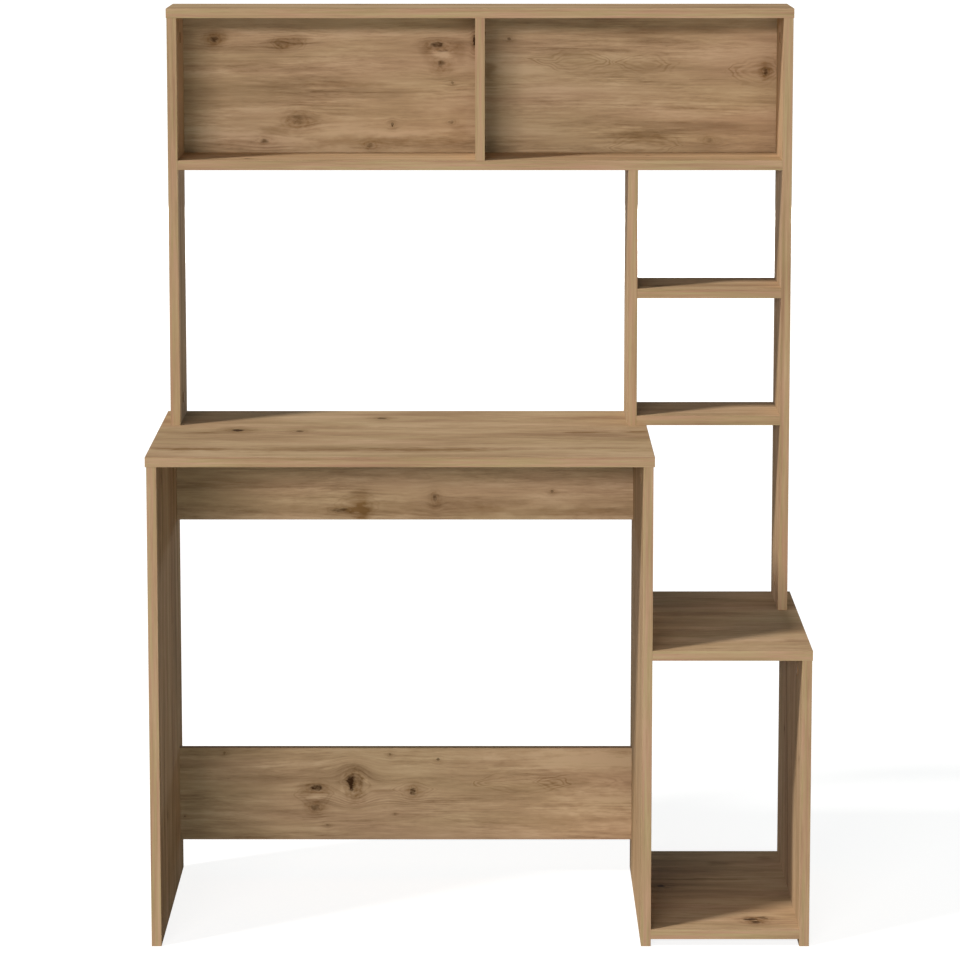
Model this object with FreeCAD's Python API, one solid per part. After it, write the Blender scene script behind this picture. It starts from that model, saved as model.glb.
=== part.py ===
import FreeCAD, Part
import math
import os
from FreeCAD import Vector

# Student desk with hutch, in millimetres.
# X runs to the sitter's right, Y to the back and Z up, from the middle of the footprint on the floor.
# Flat-pack construction: every board end butts on a board face and is held there by cams and dowels.

# Reach of the assembled desk
TOTAL_WIDTH = 1000.0
TOTAL_DEPTH = 500.0
TOTAL_HEIGHT = 1400.0

# Sheet goods
BOARD = 15.0  # thickness of the melamine-faced chipboard
EDGING = 0.8  # thickness of the strip glued on a visible board edge
ARRIS = 0.4  # rounding of the two long outer corners of an edging strip
BACK_SHEET = 3.0  # thickness of the hardboard behind the compartments
BACK_SHEET_INSET = 1.0  # margin from the back sheet to the outside of the boards it covers

# Desk
DESKTOP_WIDTH = 761.0
DESKTOP_HEIGHT = 750.0
DESKTOP_OVERHANG = 2.0  # past the outer faces of its two legs
RAIL_HEIGHT = 151.0
RAIL_SETBACK = 50.0  # from the desktop's back edge to the rails
LOWER_RAIL_LIFT = 61.0  # from the floor to the lower rail

# Cabinet for the computer, at the right
CABINET_HEIGHT = 456.0
CABINET_OVERHANG = 1.0  # of its top past the outer leg
CABINET_FLOOR_LIFT = 11.0  # from the floor to the underside of its bottom board

# Hutch
HUTCH_DEPTH = 160.0
UPRIGHT_INSET = 15.5  # from the end of the board below to an upright's outer face
TOP_OVERHANG = 1.0  # of the hutch top past the uprights
COMPARTMENT_HEIGHT = 220.0  # clear height under the hutch top

# Where fittings sit along a joint, from the finished edges of the joined board
DOWEL_EDGE = 37.0
CAM_EDGE = 100.0  # on joints as deep as the desk
SHELF_FITTING_EDGE = 58.0  # on the small shelves

# Cam fitting
CAM_DIAMETER = 15.0
CAM_HEIGHT = 12.0
CAM_SETBACK = 34.0  # from the board end to the cam's centre
CAM_POCKET = 7.2  # bore across the cam that takes the bolt's head
RECESS_LENGTH = 9.0  # cross-shaped driver recess
RECESS_WIDTH = 1.4
RECESS_DEPTH = 3.0
BOLT_BORE = 8.0  # in the board end
BOLT_THREAD = 6.3
BOLT_THREAD_LENGTH = 11.0
BOLT_COLLAR = 7.4
BOLT_COLLAR_LENGTH = 1.5
BOLT_SHANK = 5.6
BOLT_NECK = 4.0
BOLT_NECK_LENGTH = 4.0
BOLT_HEAD = 6.6
BOLT_HEAD_LENGTH = 3.0
BOLT_HEAD_OFFSET = 0.8  # of the head past the cam's centre
BOLT_CHAMFER = 0.8

# Cover cap
CAP_DIAMETER = 17.5
CAP_THICKNESS = 1.0
CAP_CHAMFER = 0.4

# Wooden dowel
DOWEL_DIAMETER = 8.0
DOWEL_IN_END = 20.0
DOWEL_IN_FACE = 10.0
DOWEL_CHAMFER = 1.0

# Panel nail
NAIL_DIAMETER = 1.6
NAIL_LENGTH = 18.0
NAIL_POINT = 0.4  # width of the point
NAIL_HEAD = 3.4
NAIL_HEAD_HEIGHT = 0.8
NAIL_PITCH = 125.0  # most between two nails

# Clearances
BORE_PLAY = 0.1  # all round a fitting in its bore
BORE_SPARE = 0.5  # past the end of a fitting in its bore

# Planes that the boards share
LEFT = -TOTAL_WIDTH / 2
RIGHT = TOTAL_WIDTH / 2
FRONT = -TOTAL_DEPTH / 2
BACK = TOTAL_DEPTH / 2
DESK_RIGHT = LEFT + DESKTOP_WIDTH
LEGS_TOP = DESKTOP_HEIGHT - BOARD
LEFT_LEG_OUTER = LEFT + DESKTOP_OVERHANG
LEFT_LEG_INNER = LEFT_LEG_OUTER + BOARD
CENTRE_LEG_OUTER = DESK_RIGHT - DESKTOP_OVERHANG
CENTRE_LEG_INNER = CENTRE_LEG_OUTER - BOARD
CABINET_LEG_OUTER = RIGHT - CABINET_OVERHANG
CABINET_LEG_INNER = CABINET_LEG_OUTER - BOARD
RAIL_BACK = BACK - RAIL_SETBACK
HUTCH_BACK = BACK - BACK_SHEET
HUTCH_FRONT = HUTCH_BACK - HUTCH_DEPTH
LEFT_UPRIGHT_OUTER = LEFT + UPRIGHT_INSET
LEFT_UPRIGHT_INNER = LEFT_UPRIGHT_OUTER + BOARD
RIGHT_UPRIGHT_OUTER = RIGHT - UPRIGHT_INSET
RIGHT_UPRIGHT_INNER = RIGHT_UPRIGHT_OUTER - BOARD
CENTRE_UPRIGHT_OUTER = DESK_RIGHT - UPRIGHT_INSET
CENTRE_UPRIGHT_INNER = CENTRE_UPRIGHT_OUTER - BOARD
UPRIGHTS_TOP = TOTAL_HEIGHT - BOARD
LONG_SHELF_TOP = UPRIGHTS_TOP - COMPARTMENT_HEIGHT
LONG_SHELF_BOTTOM = LONG_SHELF_TOP - BOARD
SMALL_BAY_HEIGHT = (LONG_SHELF_BOTTOM - DESKTOP_HEIGHT - 2 * BOARD) / 2
UPPER_SMALL_SHELF_BOTTOM = DESKTOP_HEIGHT + BOARD + SMALL_BAY_HEIGHT

# Directions
TO_LEFT = Vector(-1, 0, 0)
TO_RIGHT = Vector(1, 0, 0)
TO_FRONT = Vector(0, -1, 0)
TO_BACK = Vector(0, 1, 0)
DOWN = Vector(0, 0, -1)
UP = Vector(0, 0, 1)
X, Y, Z = range(3)
SIDES = {"left": TO_LEFT, "right": TO_RIGHT, "front": TO_FRONT, "back": TO_BACK, "bottom": DOWN, "top": UP}
RUNNING_STRIPS = ("front", "back", "bottom", "top")  # these run past the strips on the board's ends


def axis_of(direction):
    """The index of the axis that a direction runs along."""
    return max((X, Y, Z), key=lambda axis: abs(direction[axis]))


def block(low, high):
    """A box between two corners."""
    size = [high[axis] - low[axis] for axis in (X, Y, Z)]
    return Part.makeBox(*size, Vector(*low))


def turned(profile):
    """A solid turned about the X axis from its (x, radius) corners."""
    start, end = profile[0][0], profile[-1][0]
    corners = [(start, 0.0)] + profile + [(end, 0.0), (start, 0.0)]
    outline = Part.makePolygon([Vector(x, radius, 0) for x, radius in corners])
    return Part.Face(outline).revolve(Vector(0, 0, 0), TO_RIGHT, 360)


def placed(shape, origin, along, up):
    """A copy of the shape with its own X turned to `along`, its Z to `up`, and its zero put at `origin`."""
    turn = FreeCAD.Rotation(along, up.cross(along), up, "ZXY")
    copy = shape.copy()
    copy.Placement = FreeCAD.Placement(origin, turn)
    return copy


class Board:
    """A rectangular board with its edging strips and the holes bored in it."""

    def __init__(self, node, low, high, edged):
        self.node = node
        self.low = low
        self.high = high
        self.edged = edged
        self.holes = []

    def core_corners(self):
        """The board's corners without its edging."""
        low, high = list(self.low), list(self.high)
        for side in self.edged:
            axis = axis_of(SIDES[side])
            if SIDES[side][axis] < 0:
                low[axis] += EDGING
            else:
                high[axis] -= EDGING
        return low, high

    def core(self):
        """The chipboard itself, with its holes."""
        return block(*self.core_corners()).cut(self.holes).Solids[0]

    def strip(self, side):
        """The edging strip on one side, its long outer corners rounded."""
        low, high = self.core_corners()
        if side in RUNNING_STRIPS:
            low, high = list(self.low), list(self.high)
        axis = axis_of(SIDES[side])
        if SIDES[side][axis] < 0:
            outside = self.low[axis]
            low[axis], high[axis] = outside, outside + EDGING
        else:
            outside = self.high[axis]
            low[axis], high[axis] = outside - EDGING, outside
        length_axis = max((X, Y, Z), key=lambda each: high[each] - low[each])
        solid = block(low, high)
        corners = [
            edge
            for edge in solid.Edges
            if abs(edge.CenterOfMass[axis] - outside) < EDGING / 2
            and axis_of(edge.tangentAt(edge.FirstParameter)) == length_axis
        ]
        return solid.makeFillet(ARRIS, corners).cut(self.holes).Solids[0]

    def strips(self):
        """All edging strips of the board."""
        return [self.strip(side) for side in self.edged]


def desk_boards():
    """The desktop on its two leg panels, and the two rails between them."""
    rail_front = RAIL_BACK - BOARD
    return [
        Board(
            "desktop",
            (LEFT, FRONT, LEGS_TOP),
            (DESK_RIGHT, BACK, DESKTOP_HEIGHT),
            ("front", "back", "left", "right"),
        ),
        Board(
            "left_leg_panel",
            (LEFT_LEG_OUTER, FRONT, 0),
            (LEFT_LEG_INNER, BACK, LEGS_TOP),
            ("front", "back"),
        ),
        Board(
            "centre_leg_panel",
            (CENTRE_LEG_INNER, FRONT, 0),
            (CENTRE_LEG_OUTER, BACK, LEGS_TOP),
            ("front", "back"),
        ),
        Board(
            "upper_rail",
            (LEFT_LEG_INNER, rail_front, LEGS_TOP - RAIL_HEIGHT),
            (CENTRE_LEG_INNER, RAIL_BACK, LEGS_TOP),
            ("bottom",),
        ),
        Board(
            "lower_rail",
            (LEFT_LEG_INNER, rail_front, LOWER_RAIL_LIFT),
            (CENTRE_LEG_INNER, RAIL_BACK, LOWER_RAIL_LIFT + RAIL_HEIGHT),
            ("bottom", "top"),
        ),
    ]


def cabinet_boards():
    """The cabinet's top, outer leg and bottom board, which share the desk's centre leg."""
    top_underside = CABINET_HEIGHT - BOARD
    return [
        Board(
            "cabinet_top",
            (CENTRE_LEG_OUTER, FRONT, top_underside),
            (RIGHT, BACK, CABINET_HEIGHT),
            ("front", "back", "right"),
        ),
        Board(
            "cabinet_leg_panel",
            (CABINET_LEG_INNER, FRONT, 0),
            (CABINET_LEG_OUTER, BACK, top_underside),
            ("front", "back"),
        ),
        Board(
            "cabinet_bottom",
            (CENTRE_LEG_OUTER, FRONT, CABINET_FLOOR_LIFT),
            (CABINET_LEG_INNER, BACK, CABINET_FLOOR_LIFT + BOARD),
            ("front", "back"),
        ),
    ]


def upright(node, x, bottom, top):
    """A hutch upright, with its left face at x."""
    return Board(node, (x, HUTCH_FRONT, bottom), (x + BOARD, HUTCH_BACK, top), ("front", "back"))


def shelf(node, left, right, bottom, edged):
    """A horizontal hutch board."""
    return Board(node, (left, HUTCH_FRONT, bottom), (right, HUTCH_BACK, bottom + BOARD), edged)


def hutch_boards():
    """The hutch's uprights, its top, the long shelf with its divider, and the two small shelves."""
    divider = Board(
        "compartment_divider",
        (-BOARD / 2, HUTCH_FRONT, LONG_SHELF_TOP),
        (BOARD / 2, HUTCH_BACK, UPRIGHTS_TOP),
        ("front",),
    )
    top_left = LEFT_UPRIGHT_OUTER - TOP_OVERHANG
    top_right = RIGHT_UPRIGHT_OUTER + TOP_OVERHANG
    small_shelf_ends = (CENTRE_UPRIGHT_OUTER, RIGHT_UPRIGHT_INNER)
    return [
        upright("hutch_left_upright", LEFT_UPRIGHT_OUTER, DESKTOP_HEIGHT, UPRIGHTS_TOP),
        upright("hutch_centre_upright", CENTRE_UPRIGHT_INNER, DESKTOP_HEIGHT, LONG_SHELF_BOTTOM),
        upright("hutch_right_upright", RIGHT_UPRIGHT_INNER, CABINET_HEIGHT, UPRIGHTS_TOP),
        shelf("hutch_top", top_left, top_right, UPRIGHTS_TOP, ("front", "left", "right")),
        shelf("long_shelf", LEFT_UPRIGHT_INNER, RIGHT_UPRIGHT_INNER, LONG_SHELF_BOTTOM, ("front",)),
        divider,
        shelf("upper_small_shelf", *small_shelf_ends, UPPER_SMALL_SHELF_BOTTOM, ("front", "back")),
        shelf("lower_small_shelf", *small_shelf_ends, DESKTOP_HEIGHT, ("front", "back")),
    ]


def back_sheet():
    """The thin sheet nailed behind the compartments."""
    margin = BACK_SHEET_INSET
    low = (LEFT_UPRIGHT_OUTER + margin, HUTCH_BACK, LONG_SHELF_BOTTOM + margin)
    high = (RIGHT_UPRIGHT_OUTER - margin, BACK, TOTAL_HEIGHT - margin)
    return Board("compartment_back", low, high, ())


def cam_housing():
    """The round cam, open to the side for the bolt's head, with a cross-shaped driver recess."""
    base = Vector(CAM_SETBACK, 0, BOARD / 2 - CAM_HEIGHT)
    body = Part.makeCylinder(CAM_DIAMETER / 2, CAM_HEIGHT, base)
    pocket_end = CAM_SETBACK + BOLT_HEAD_OFFSET + BORE_SPARE
    pocket = Part.makeCylinder(CAM_POCKET / 2, pocket_end, Vector(0, 0, 0), TO_RIGHT)
    recess_floor = BOARD / 2 - RECESS_DEPTH
    half_length, half_width = RECESS_LENGTH / 2, RECESS_WIDTH / 2
    slots = [
        block(
            (CAM_SETBACK - half_x, -half_y, recess_floor),
            (CAM_SETBACK + half_x, half_y, BOARD / 2),
        )
        for half_x, half_y in ((half_length, half_width), (half_width, half_length))
    ]
    return body.cut([pocket] + slots).Solids[0]


def cam_bolt():
    """The bolt: a thread for the board face, a collar, the shank, and a head that the cam pulls in."""
    head_end = CAM_SETBACK + BOLT_HEAD_OFFSET
    head_start = head_end - BOLT_HEAD_LENGTH
    neck_start = head_start - BOLT_NECK_LENGTH
    return turned(
        [
            (-BOLT_THREAD_LENGTH, BOLT_THREAD / 2 - BOLT_CHAMFER),
            (-BOLT_THREAD_LENGTH + BOLT_CHAMFER, BOLT_THREAD / 2),
            (0.0, BOLT_THREAD / 2),
            (0.0, BOLT_COLLAR / 2),
            (BOLT_COLLAR_LENGTH, BOLT_COLLAR / 2),
            (BOLT_COLLAR_LENGTH, BOLT_SHANK / 2),
            (neck_start, BOLT_SHANK / 2),
            (neck_start, BOLT_NECK / 2),
            (head_start, BOLT_NECK / 2),
            (head_start, BOLT_HEAD / 2),
            (head_end - BOLT_CHAMFER, BOLT_HEAD / 2),
            (head_end, BOLT_HEAD / 2 - BOLT_CHAMFER),
        ]
    )


def wooden_dowel():
    """A dowel across the seam, longer in the board end than in the board face."""
    radius = DOWEL_DIAMETER / 2
    return turned(
        [
            (-DOWEL_IN_FACE, radius - DOWEL_CHAMFER),
            (-DOWEL_IN_FACE + DOWEL_CHAMFER, radius),
            (DOWEL_IN_END - DOWEL_CHAMFER, radius),
            (DOWEL_IN_END, radius - DOWEL_CHAMFER),
        ]
    )


def cover_cap():
    """A flat cap on the board face, over a cam."""
    cap = Part.makeCylinder(CAP_DIAMETER / 2, CAP_THICKNESS, Vector(CAM_SETBACK, 0, BOARD / 2))
    rim = [edge for edge in cap.Edges if edge.Closed and edge.CenterOfMass[Z] > BOARD / 2]
    return cap.makeChamfer(CAP_CHAMFER, rim)


def panel_nail():
    """A nail with a flat head, driven along X with the top of its head at zero."""
    return turned(
        [
            (0.0, NAIL_HEAD / 2),
            (NAIL_HEAD_HEIGHT, NAIL_HEAD / 2),
            (NAIL_HEAD_HEIGHT, NAIL_DIAMETER / 2),
            (NAIL_LENGTH - NAIL_DIAMETER, NAIL_DIAMETER / 2),
            (NAIL_LENGTH, NAIL_POINT / 2),
        ]
    )


def round_hole(diameter, start, end):
    """A bore along X from start to end, with the play that its fitting has."""
    return Part.makeCylinder(diameter / 2 + BORE_PLAY, end - start, Vector(start, 0, 0), TO_RIGHT)


def cam_end_holes():
    """The holes for a cam fitting in the board that ends at the seam: for the cam and for the bolt."""
    depth = CAM_HEIGHT + BORE_SPARE
    base = Vector(CAM_SETBACK, 0, BOARD / 2 - depth)
    cam_hole = Part.makeCylinder(CAM_DIAMETER / 2 + BORE_PLAY, depth, base)
    bolt_hole = Part.makeCylinder(BOLT_BORE / 2, CAM_SETBACK, Vector(0, 0, 0), TO_RIGHT)
    return [cam_hole, bolt_hole]


def nail_holes():
    """The hole that a nail makes, with the seat of its head."""
    seat = Part.makeCylinder(NAIL_HEAD / 2 + BORE_PLAY, NAIL_HEAD_HEIGHT, Vector(0, 0, 0), TO_RIGHT)
    return [seat, round_hole(NAIL_DIAMETER, 0, NAIL_LENGTH + BORE_SPARE)]


def seam_point(board, into, cam_side, place):
    """The point on a seam at the middle of the board's thickness and at `place` along its width."""
    point = []
    for axis in (X, Y, Z):
        if axis == axis_of(into):
            point.append(board.low[axis] if into[axis] > 0 else board.high[axis])
        elif axis == axis_of(cam_side):
            point.append((board.low[axis] + board.high[axis]) / 2)
        else:
            point.append(place)
    return Vector(*point)


def edge_places(board, into, cam_side, margin):
    """The two places along a seam that lie a margin inside the board's finished edges."""
    axis = 3 - axis_of(into) - axis_of(cam_side)
    return [board.low[axis] + margin, board.high[axis] - margin]


class Fittings:
    """The loose hardware, gathered as the joints are made."""

    def __init__(self):
        nodes = ("cam_housings", "cam_bolts", "cam_caps", "wooden_dowels", "panel_nails")
        self.groups = {node: [] for node in nodes}

    def add_cam(self, end_board, face_board, into, cam_side, place, capped):
        """A cam in the end board, and its bolt in the face board."""
        seam = seam_point(end_board, into, cam_side, place)
        self.groups["cam_housings"].append(placed(cam_housing(), seam, into, cam_side))
        self.groups["cam_bolts"].append(placed(cam_bolt(), seam, into, cam_side))
        if capped:
            self.groups["cam_caps"].append(placed(cover_cap(), seam, into, cam_side))
        end_board.holes += [placed(hole, seam, into, cam_side) for hole in cam_end_holes()]
        thread_hole = round_hole(BOLT_THREAD, -BOLT_THREAD_LENGTH - BORE_SPARE, 0)
        face_board.holes.append(placed(thread_hole, seam, into, cam_side))

    def add_dowel(self, end_board, face_board, into, cam_side, place):
        """A dowel across the seam, in a hole of either board."""
        seam = seam_point(end_board, into, cam_side, place)
        self.groups["wooden_dowels"].append(placed(wooden_dowel(), seam, into, cam_side))
        end_hole = round_hole(DOWEL_DIAMETER, 0, DOWEL_IN_END + BORE_SPARE)
        face_hole = round_hole(DOWEL_DIAMETER, -DOWEL_IN_FACE - BORE_SPARE, 0)
        end_board.holes.append(placed(end_hole, seam, into, cam_side))
        face_board.holes.append(placed(face_hole, seam, into, cam_side))

    def deep_joint(self, end_board, face_board, into, cam_side, capped=False):
        """A joint as deep as the desk: a dowel and a cam near either edge."""
        for place in edge_places(end_board, into, cam_side, DOWEL_EDGE):
            self.add_dowel(end_board, face_board, into, cam_side, place)
        for place in edge_places(end_board, into, cam_side, CAM_EDGE):
            self.add_cam(end_board, face_board, into, cam_side, place, capped)

    def narrow_joint(self, end_board, face_board, into, cam_side, capped=False):
        """A joint on a rail or a hutch board: a cam in the middle between two dowels."""
        places = edge_places(end_board, into, cam_side, DOWEL_EDGE)
        for place in places:
            self.add_dowel(end_board, face_board, into, cam_side, place)
        self.add_cam(end_board, face_board, into, cam_side, sum(places) / 2, capped)

    def small_shelf_joint(self, end_board, face_board, into):
        """A joint on a small shelf, clear of the fittings in the upright's foot: a cam and a dowel."""
        cam_place, dowel_place = edge_places(end_board, into, DOWN, SHELF_FITTING_EDGE)
        self.add_cam(end_board, face_board, into, DOWN, cam_place, False)
        self.add_dowel(end_board, face_board, into, DOWN, dowel_place)

    def add_nail(self, sheet, board, x, z):
        """A nail through the back sheet into the back edge of a board."""
        head = Vector(x, BACK, z)
        self.groups["panel_nails"].append(placed(panel_nail(), head, TO_FRONT, UP))
        for pierced in (sheet, board):
            pierced.holes += [placed(hole, head, TO_FRONT, UP) for hole in nail_holes()]


def join_desk(boards, fittings):
    """Fasten the desktop to its legs and the rails between the legs."""
    left_leg, centre_leg = boards["left_leg_panel"], boards["centre_leg_panel"]
    fittings.deep_joint(left_leg, boards["desktop"], DOWN, TO_RIGHT, capped=True)
    fittings.deep_joint(centre_leg, boards["desktop"], DOWN, TO_LEFT, capped=True)
    for rail in (boards["upper_rail"], boards["lower_rail"]):
        fittings.narrow_joint(rail, left_leg, TO_RIGHT, TO_BACK)
        fittings.narrow_joint(rail, centre_leg, TO_LEFT, TO_BACK)


def join_cabinet(boards, fittings):
    """Fasten the cabinet's boards to each other and to the desk's centre leg."""
    top, bottom = boards["cabinet_top"], boards["cabinet_bottom"]
    outer_leg = boards["cabinet_leg_panel"]
    fittings.deep_joint(top, boards["centre_leg_panel"], TO_RIGHT, DOWN)
    fittings.deep_joint(outer_leg, top, DOWN, TO_LEFT, capped=True)
    fittings.deep_joint(bottom, boards["centre_leg_panel"], TO_RIGHT, DOWN)
    fittings.deep_joint(bottom, outer_leg, TO_LEFT, DOWN)


def join_hutch(boards, fittings):
    """Stand the uprights on the desktop and the cabinet top, and fasten the boards between them."""
    left, centre = boards["hutch_left_upright"], boards["hutch_centre_upright"]
    right, divider = boards["hutch_right_upright"], boards["compartment_divider"]
    top, long_shelf = boards["hutch_top"], boards["long_shelf"]
    fittings.narrow_joint(left, boards["desktop"], UP, TO_RIGHT, capped=True)
    fittings.narrow_joint(centre, boards["desktop"], UP, TO_RIGHT, capped=True)
    fittings.narrow_joint(right, boards["cabinet_top"], UP, TO_LEFT, capped=True)
    fittings.narrow_joint(left, top, DOWN, TO_RIGHT, capped=True)
    fittings.narrow_joint(right, top, DOWN, TO_LEFT, capped=True)
    fittings.narrow_joint(centre, long_shelf, DOWN, TO_RIGHT, capped=True)
    fittings.narrow_joint(divider, top, DOWN, TO_RIGHT, capped=True)
    fittings.narrow_joint(divider, long_shelf, UP, TO_RIGHT, capped=True)
    fittings.narrow_joint(long_shelf, left, TO_RIGHT, DOWN)
    fittings.narrow_joint(long_shelf, right, TO_LEFT, DOWN)
    for small_shelf in (boards["upper_small_shelf"], boards["lower_small_shelf"]):
        fittings.small_shelf_joint(small_shelf, centre, TO_RIGHT)
        fittings.small_shelf_joint(small_shelf, right, TO_LEFT)


def spaced(start, end):
    """Evenly spaced places between two ends, no further apart than the nails' pitch."""
    count = math.ceil((end - start) / NAIL_PITCH)
    step = (end - start) / count
    return [start + step * (index + 0.5) for index in range(count)]


def nail_back_sheet(sheet, boards, fittings):
    """Nail the back sheet to the hutch top, the long shelf, the outer uprights and the divider."""
    for board in (boards["hutch_top"], boards["long_shelf"]):
        for x in spaced(LEFT_UPRIGHT_INNER, RIGHT_UPRIGHT_INNER):
            fittings.add_nail(sheet, board, x, board.low[Z] + BOARD / 2)
    for node in ("hutch_left_upright", "compartment_divider", "hutch_right_upright"):
        board = boards[node]
        for z in spaced(LONG_SHELF_TOP, UPRIGHTS_TOP):
            fittings.add_nail(sheet, board, board.low[X] + BOARD / 2, z)


def build():
    """Every node of the desk, by name."""
    boards = {board.node: board for board in desk_boards() + cabinet_boards() + hutch_boards()}
    sheet = back_sheet()
    fittings = Fittings()
    join_desk(boards, fittings)
    join_cabinet(boards, fittings)
    join_hutch(boards, fittings)
    nail_back_sheet(sheet, boards, fittings)
    nodes = {sheet.node: sheet.core()}
    for board in boards.values():
        nodes[board.node] = board.core()
        nodes[board.node + "_edging"] = Part.makeCompound(board.strips())
    for node, solids in fittings.groups.items():
        nodes[node] = Part.makeCompound(solids)
    return nodes


def main():
    """Write one STEP file for each node."""
    os.makedirs("parts", exist_ok=True)
    for node, shape in build().items():
        shape.exportStep("parts/" + node + ".step")
        print(node, len(shape.Solids), "solids", round(shape.Volume / 1000, 2), "cm3", shape.isValid())


main()
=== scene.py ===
import math

import bmesh
import bpy
from bpy.props import FloatProperty, FloatVectorProperty, PointerProperty
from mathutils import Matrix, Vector


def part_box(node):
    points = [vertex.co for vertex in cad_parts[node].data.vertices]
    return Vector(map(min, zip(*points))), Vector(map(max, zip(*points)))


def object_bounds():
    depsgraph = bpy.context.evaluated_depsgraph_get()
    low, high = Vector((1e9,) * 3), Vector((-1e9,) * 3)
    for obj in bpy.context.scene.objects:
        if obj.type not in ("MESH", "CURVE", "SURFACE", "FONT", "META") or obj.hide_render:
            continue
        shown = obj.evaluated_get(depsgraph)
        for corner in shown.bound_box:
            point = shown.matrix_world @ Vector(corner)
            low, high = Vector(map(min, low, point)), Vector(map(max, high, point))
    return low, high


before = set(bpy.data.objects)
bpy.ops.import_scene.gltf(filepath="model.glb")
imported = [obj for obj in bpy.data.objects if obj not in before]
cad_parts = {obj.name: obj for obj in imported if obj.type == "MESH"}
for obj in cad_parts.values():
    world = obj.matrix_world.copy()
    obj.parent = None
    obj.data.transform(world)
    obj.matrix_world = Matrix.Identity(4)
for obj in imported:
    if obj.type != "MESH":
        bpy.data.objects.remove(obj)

bl_info = {
    "name": "Student desk finishes",
    "version": (1, 0, 0),
    "blender": (4, 5, 0),
    "location": "View3D > Sidebar > Desk",
    "description": "Lays the oak print, edging and fittings' finishes on a student desk with a hutch",
    "category": "Material",
}

CAD_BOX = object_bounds()
MM_PER_METRE = 1000.0
X, Y, Z = range(3)
# The face is matt: it sends back far less of a low light than clear plastic does.
FACE_SPECULAR = 0.015

BOARD_GROUPS = {
    "desk": ("desktop", "left_leg_panel", "centre_leg_panel", "upper_rail", "lower_rail"),
    "cabinet": ("cabinet_top", "cabinet_leg_panel", "cabinet_bottom"),
    "hutch": (
        "hutch_left_upright", "hutch_centre_upright", "hutch_right_upright", "hutch_top",
        "long_shelf", "compartment_divider", "upper_small_shelf", "lower_small_shelf",
    ),
}
BACK_SHEET = "compartment_back"

# Each board's own stretch of the print: boards are sawn from different sheets.
PRINT_START = {
    "desktop": 3.1, "left_leg_panel": 14.7, "centre_leg_panel": 22.4, "upper_rail": 35.2,
    "lower_rail": 41.9, "cabinet_top": 57.3, "cabinet_leg_panel": 63.8, "cabinet_bottom": 71.5,
    "hutch_left_upright": 88.3, "hutch_centre_upright": 92.1, "hutch_right_upright": 104.4,
    "hutch_top": 113.7, "long_shelf": 125.2, "compartment_divider": 131.9,
    "upper_small_shelf": 146.3, "lower_small_shelf": 153.6, "compartment_back": 168.8,
}

# Marks of the print on the face that shows most, with a few patches of painted light and shade
# among them, in millimetres on the desk. All start with their place along the grain and across it,
# their half length and their half width.
# Knots end with how dark the heart is and how brown the wood round it.
KNOTS = {
    "compartment_back": (
        (-420, 1344, 7, 5, 0.65, 0.3), (-316, 1335, 8, 4, 0.12, 0.25), (-285, 1342, 7, 3, 0.12, 0.25),
        (-67, 1334, 12, 5, 0.7, 0.3), (-58, 1328, 9, 3, 0.35, 0.1), (-61, 1306, 8, 7, 0.4, 0.35),
        (-9, 1339, 2, 10, 0.95, 0.3), (-44, 1275, 3, 3, 0.45, 0.1), (-289, 1216, 10, 8, 0.2, 0.3),
        (-139, 1209, 3, 4, 0.7, 0.2), (-46, 1213, 5, 3, 0.5, 0.25), (-342, 1184, 8, 4, 0.35, 0.3),
        (-174, 1178, 7, 4, 0.4, 0.3), (46, 1343, 4, 3, 0.45, 0.15), (452, 1293, 4, 5, 0.65, 0.45),
        (364, 1184, 7, 4, 0.12, 0.25),
    ),
    "lower_rail": (
        (-264, 145, 11, 5, 0.85, 0.3), (-265, 116, 7, 6, 0.45, 0.3), (-205, 154, 10, 14, 1.0, 0.2),
        (-200, 150, 6, 9, -0.75, 0.25), (-108, 141, 5, 6, 0.75, 0.25), (-411, 203, 3, 3, 0.35, 0.1),
        (-145, 199, 3, 3, 0.3, 0.1), (-67, 191, 3, 3, 0.6, 0.1), (-246, 86, 3, 3, 0.3, 0.1),
        (-137, 104, 2, 2, 0.2, 0.1), (-476, 99, 2, 2, 0.4, 0.1),
    ),
    "upper_rail": (
        (-222, 600, 15, 3, 0.5, 0.2), (-72, 617, 4, 7, 0.45, 0.25), (115, 629, 3, 3, 0.5, 0.15),
    ),
    "desktop": (
        (-377, 28, 12, 13, 0.9, 0.4), (-280, 19, 8, 11, 0.5, 0.3), (-155, 155, 9, 10, 0.6, 0.25),
    ),
    "cabinet_bottom": (
        (285, 17, 8, 11, 0.65, 0.3), (413, -187, 13, 8, 0.85, 0.4), (421, -200, 8, 10, 0.8, 0.35),
        (433, -187, 10, 6, 0.5, 0.2),
    ),
}
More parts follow.
